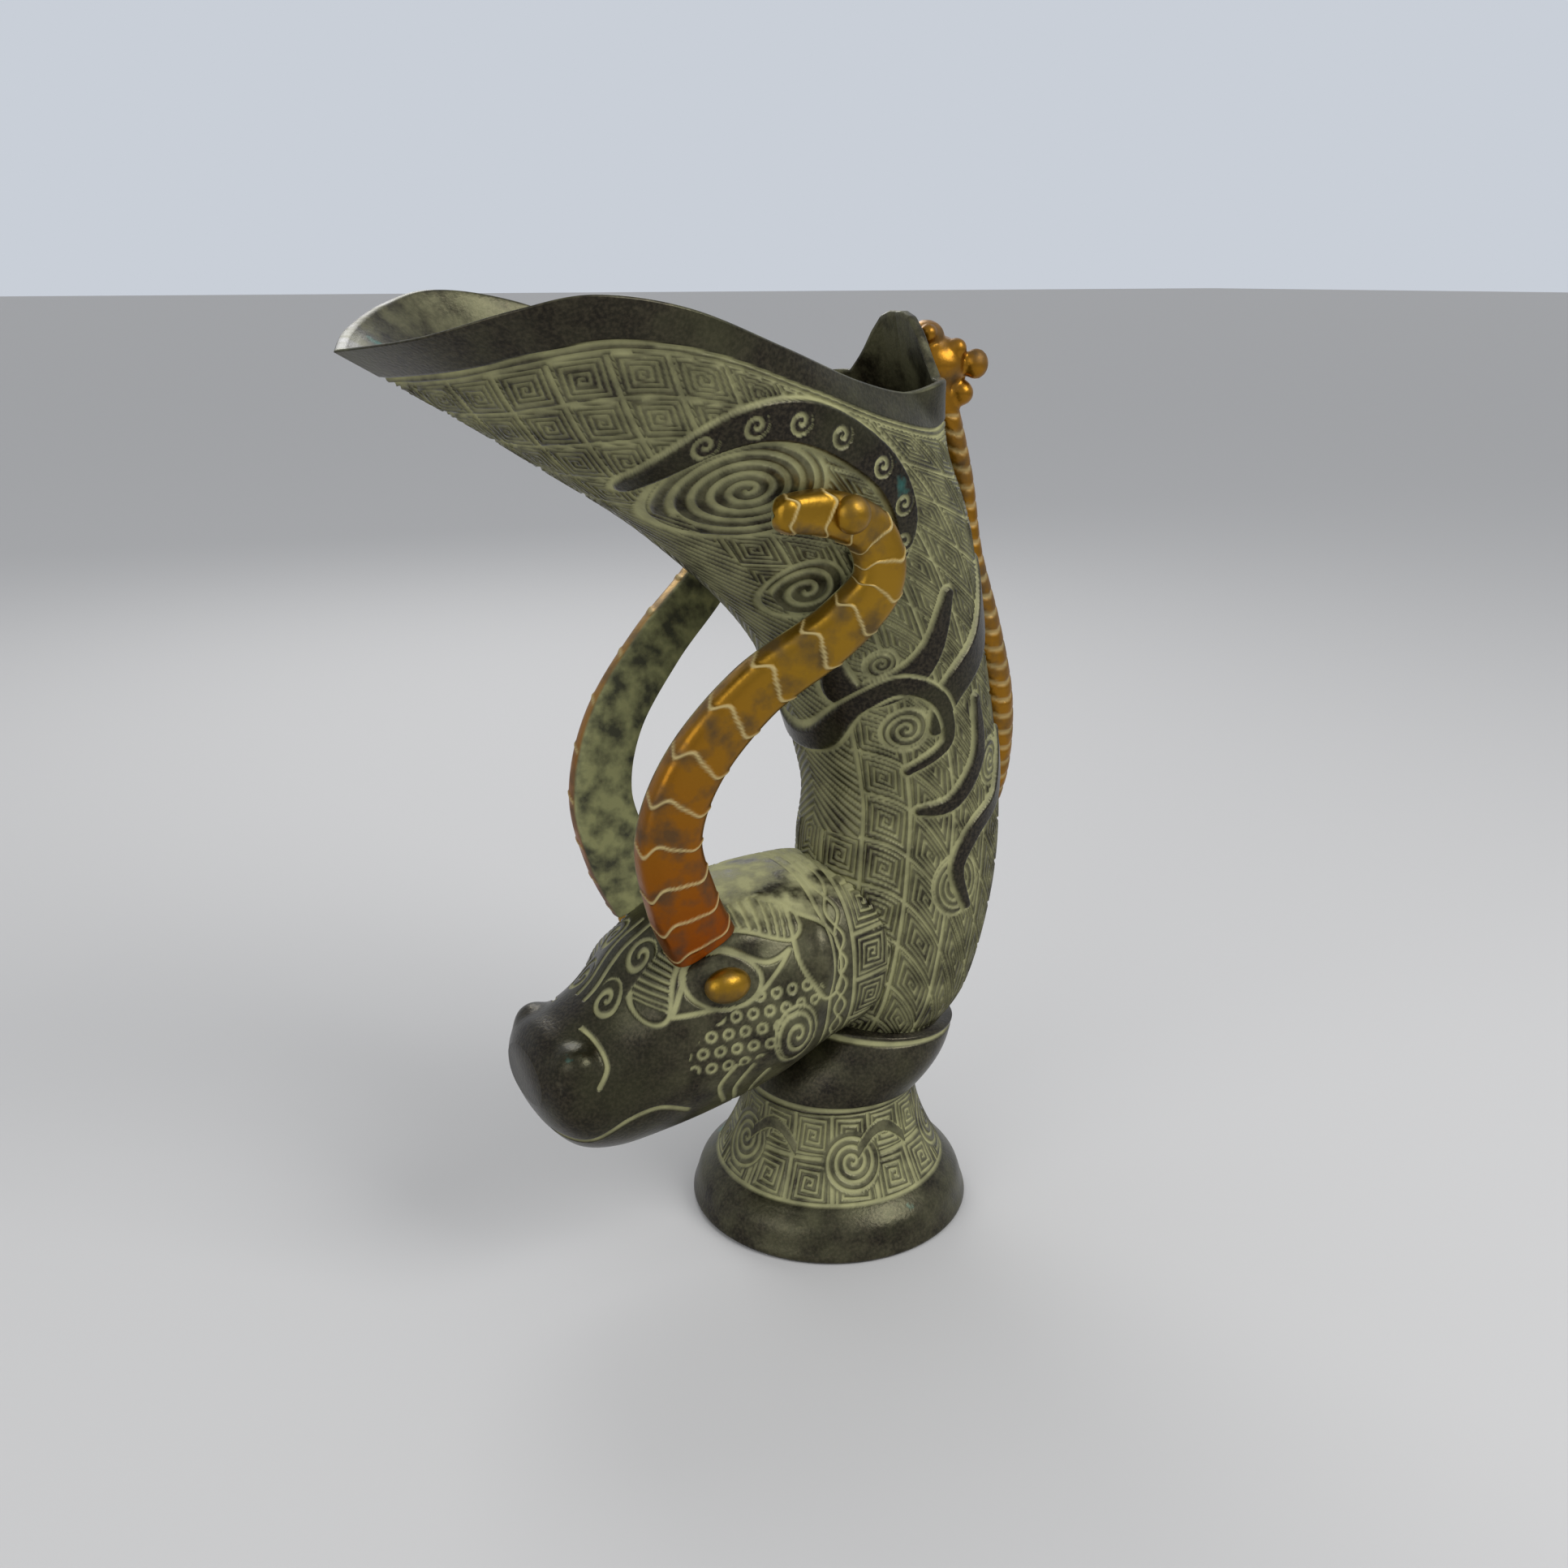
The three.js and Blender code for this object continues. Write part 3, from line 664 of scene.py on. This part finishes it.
def makeHorn(word, side):
    stations = np.array(horn["line"], float)
    stations[:, 1] *= side
    rows = smoothRows(stations, np.linspace(0, len(stations) - 1, horn["rows"]))
    tip = np.linspace(0, 1, horn["rows"])
    roundOff = np.sqrt(np.clip(1 - ((tip - horn["tipStart"]) / horn["tipLength"]).clip(0) ** 2, 0.02, 1))
    rows[:, 3:] *= roundOff[:, None]
    grid = barGrid(rows, horn["sides"], horn["squareness"])
    facing = side * (grid[..., 1] - rows[:, 1][:, None]) / (rows[:, 4][:, None] / 2)
    angle = 2 * np.pi * np.arange(horn["sides"]) / horn["sides"]
    wobble = horn["wobble"] * np.sin(horn["wobbles"] * angle)
    seamAway = saw(tip[:, None] * horn["rings"] + wobble) * horn["seamGap"]
    seam = edge(seamAway, horn["seamHalf"], horn["seamSoft"]) * (facing > horn["seamFacing"])
    grid = grid + gridNormals(grid) * (horn["seamRise"] * seam)[..., None]
    bare = np.clip(-facing * horn["bareSlope"] - horn["bareFrom"], 0, 1)
    grid[..., 1] += side * horn["insideSwell"] * np.clip(-facing - horn["swellFrom"], 0, 1) * 2
    deep = np.clip(horn["amberRoot"] - tip * horn["amberFade"], 0, 1)[:, None] + 0 * facing
    values = {"cut": seam * horn["seamDust"], "bare": bare, "deep": deep}
    place(gridMesh(f"{word}_horn_gilt", grid, values), f"{word}_horn", gilding)


def domeGrid(centre, reach, rows=48, sides=72):
    polar = np.linspace(0.02, np.pi - 0.02, rows)[:, None]
    angle = 2 * np.pi * np.arange(sides) / sides
    flat = np.sin(polar)
    unit = np.stack([flat * np.cos(angle), flat * np.sin(angle), np.cos(polar) + 0 * angle], -1)
    return np.array(centre) + unit * np.array(reach)


def plain(grid):
    flat = np.zeros(grid.shape[:2])
    return {"cut": flat, "bare": flat, "deep": flat}


domes = [  # name, CAD node, x, half y and z of the middle, and reach in x, y and z
    ("eye", "eye", (-48, 27, 89.5), (6.4, 4.2, 4.7)),
    ("stud", "horn_stud", (-24, 46, 211), (4.6, 3.6, 4.6)),
]


def makeSmallGilt(word, side):
    for name, node, (x, y, z), reach in domes:
        dome = domeGrid((x, side * y, z), reach)
        place(gridMesh(f"{word}_{name}_gilt", dome, plain(dome)), f"{word}_{node}", gilding)


dragon = {
    # x, z, width, thickness
    "line": [[27, 241, 12, 9], [33, 228, 12, 9], [39, 210, 11, 8], [43, 190, 11, 8], [49, 168, 13, 11],
             [54, 146, 14, 12], [55, 126, 12, 10], [53, 110, 6, 6]],
    # middle and reach of the forms of its head, in the middle and on each side
    "headForms": [((30, 0, 241), (9, 8.5, 7.5)), ((27.5, 0, 248), (4, 6, 4.2)), ((36, 0, 240), (4, 2.6, 4))],
    "sideForms": [((33, 6, 245), (2.8, 2.8, 2.8)), ((39, 6.6, 241), (3.6, 3, 4)),
                  ((36, 4.5, 233.5), (3.4, 3.4, 3.4)), ((24.5, 5, 249), (2.4, 2.4, 2.4))],
    "rows": 200, "sides": 48, "voxelMm": 0.7, "softenSteps": 4,
    "scaleGap": 5, "scaleSlope": 0.8, "scaleHalf": 0.4, "scaleSoft": 0.5, "scaleDepth": 0.4,
    "scalesBelow": 228, "scaleDust": 0.5, "amber": 0.3,
}


def makeDragon():
    stations = [[x, 0, z, t, w] for x, z, w, t in dragon["line"]]
    rows = smoothRows(stations, np.linspace(0, len(stations) - 1, dragon["rows"]))
    parts = [barGrid(rows, dragon["sides"])]
    parts += [domeGrid(middle, reach) for middle, reach in dragon["headForms"]]
    for side in (-1, 1):
        parts += [domeGrid((x, side * y, z), reach) for (x, y, z), reach in dragon["sideForms"]]
    pieces = [gridMesh(f"dragon_part_{i}", grid, plain(grid)) for i, grid in enumerate(parts)]
    whole = pieces[0]
    with bpy.context.temp_override(active_object=whole, selected_editable_objects=pieces, object=whole):
        bpy.ops.object.join()
    whole.name = "dragon_gilt"
    remesh = whole.modifiers.new("merge", "REMESH")
    remesh.mode = "VOXEL"
    remesh.voxel_size = dragon["voxelMm"] * mm
    soften = whole.modifiers.new("soften", "SMOOTH")
    soften.iterations = dragon["softenSteps"]
    merged = whole.evaluated_get(bpy.context.evaluated_depsgraph_get())
    whole.data = bpy.data.meshes.new_from_object(merged)
    whole.modifiers.clear()
    places = np.empty(len(whole.data.vertices) * 3)
    whole.data.vertices.foreach_get("co", places)
    x, y, z = ((places.reshape(-1, 3) - [originX, 0, 0]) / mm).T
    scaleAway = saw((z + np.abs(y) * dragon["scaleSlope"]) / dragon["scaleGap"]) * dragon["scaleGap"]
    scales = edge(scaleAway, dragon["scaleHalf"], dragon["scaleSoft"]) * (z < dragon["scalesBelow"])
    normals = np.empty(len(whole.data.vertices) * 3)
    whole.data.vertices.foreach_get("normal", normals)
    places = places - normals * np.repeat(scales, 3) * dragon["scaleDepth"] * mm
    whole.data.vertices.foreach_set("co", places)
    none = scales * 0
    for key, v in (("cut", scales * dragon["scaleDust"]), ("bare", none), ("deep", none + dragon["amber"])):
        if key in whole.data.attributes:
            whole.data.attributes.remove(whole.data.attributes[key])
        whole.data.attributes.new(key, "FLOAT", "POINT").data.foreach_set("value", v.astype(np.float32))
    whole.data.polygons.foreach_set("use_smooth", np.ones(len(whole.data.polygons), bool))
    place(whole, "dragon", gilding)


for word, side in (("left", -1), ("right", 1)):
    makeHorn(word, side)
    makeSmallGilt(word, side)
makeDragon()
print("gilt pieces made")

# Floor, light and camera

stage = {"floor": "#c4c3c2", "floorSize": 40, "floorRough": 0.7, "light": "#e8ebf0", "backdrop": "#c9cfd8",
         "worldStrength": 0.72}
lamps = {  # place in metres, watts and size
    "key": ((0.45, -0.75, 0.85), 7, 0.6),
    "fill": ((-0.9, -0.35, 0.5), 2.5, 0.7),
    "rim": ((0.2, 0.8, 0.7), 2.5, 0.5),
}
aimHeight = 0.13
view = {"turn": 30, "tilt": 18.37, "focalPixels": 1900, "framePixels": 1932, "sensor": 36,
        "spot": (-215.85, -346.67, 264)}


def makeStage():
    bpy.ops.mesh.primitive_plane_add(size=stage["floorSize"])
    floor = bpy.context.object
    floor.name = "floor"
    material, _, shader = newMaterial("pale_floor")
    shader.inputs["Base Color"].default_value = toLinear(stage["floor"])
    shader.inputs["Roughness"].default_value = stage["floorRough"]
    floor.data.materials.append(material)
    world = bpy.data.worlds.new("studio")
    bpy.context.scene.world = world
    world.use_nodes = True
    tree = world.node_tree
    soft = tree.nodes["Background"]
    soft.inputs["Color"].default_value = toLinear(stage["light"])
    soft.inputs["Strength"].default_value = stage["worldStrength"]
    seen = addNode(tree, "ShaderNodeBackground", {"Color": toLinear(stage["backdrop"]), "Strength": 1})
    rays = addNode(tree, "ShaderNodeLightPath")
    mix = addNode(tree, "ShaderNodeMixShader", {}, {0: rays.outputs["Is Camera Ray"]})
    tree.links.new(soft.outputs[0], mix.inputs[1])
    tree.links.new(seen.outputs[0], mix.inputs[2])
    tree.links.new(mix.outputs[0], tree.nodes["World Output"].inputs[0])


def makeLamp(name, spot, watts, size):
    data = bpy.data.lights.new(name, "AREA")
    data.energy = watts
    data.size = size
    lamp = bpy.data.objects.new(name, data)
    lamp.location = spot
    toward = Vector((originX, 0, aimHeight)) - Vector(spot)
    lamp.rotation_euler = toward.to_track_quat("-Z", "Y").to_euler()
    bpy.context.scene.collection.objects.link(lamp)


def makeCamera():
    turn, tilt = np.radians([view["turn"], view["tilt"]])
    right = np.array([np.cos(turn), -np.sin(turn), 0])
    level = np.array([np.sin(turn), np.cos(turn), 0])
    ahead = level * np.cos(tilt) - np.array([0, 0, np.sin(tilt)])
    up = level * np.sin(tilt) + np.array([0, 0, np.cos(tilt)])
    data = bpy.data.cameras.new("camera")
    data.sensor_width = view["sensor"]
    data.lens = view["sensor"] * view["focalPixels"] / view["framePixels"]
    camera = bpy.data.objects.new("camera", data)
    spot = np.array(view["spot"]) * mm + [originX, 0, 0]
    matrix = np.eye(4)
    matrix[:3] = np.stack([right, up, -ahead, spot], 1)
    camera.matrix_world = Matrix(matrix.tolist())
    bpy.context.scene.collection.objects.link(camera)
    bpy.context.scene.camera = camera


makeStage()
for name, (spot, watts, size) in lamps.items():
    makeLamp(name, spot, watts, size)
makeCamera()
bpy.context.scene.view_settings.view_transform = "Standard"
print("stage made")
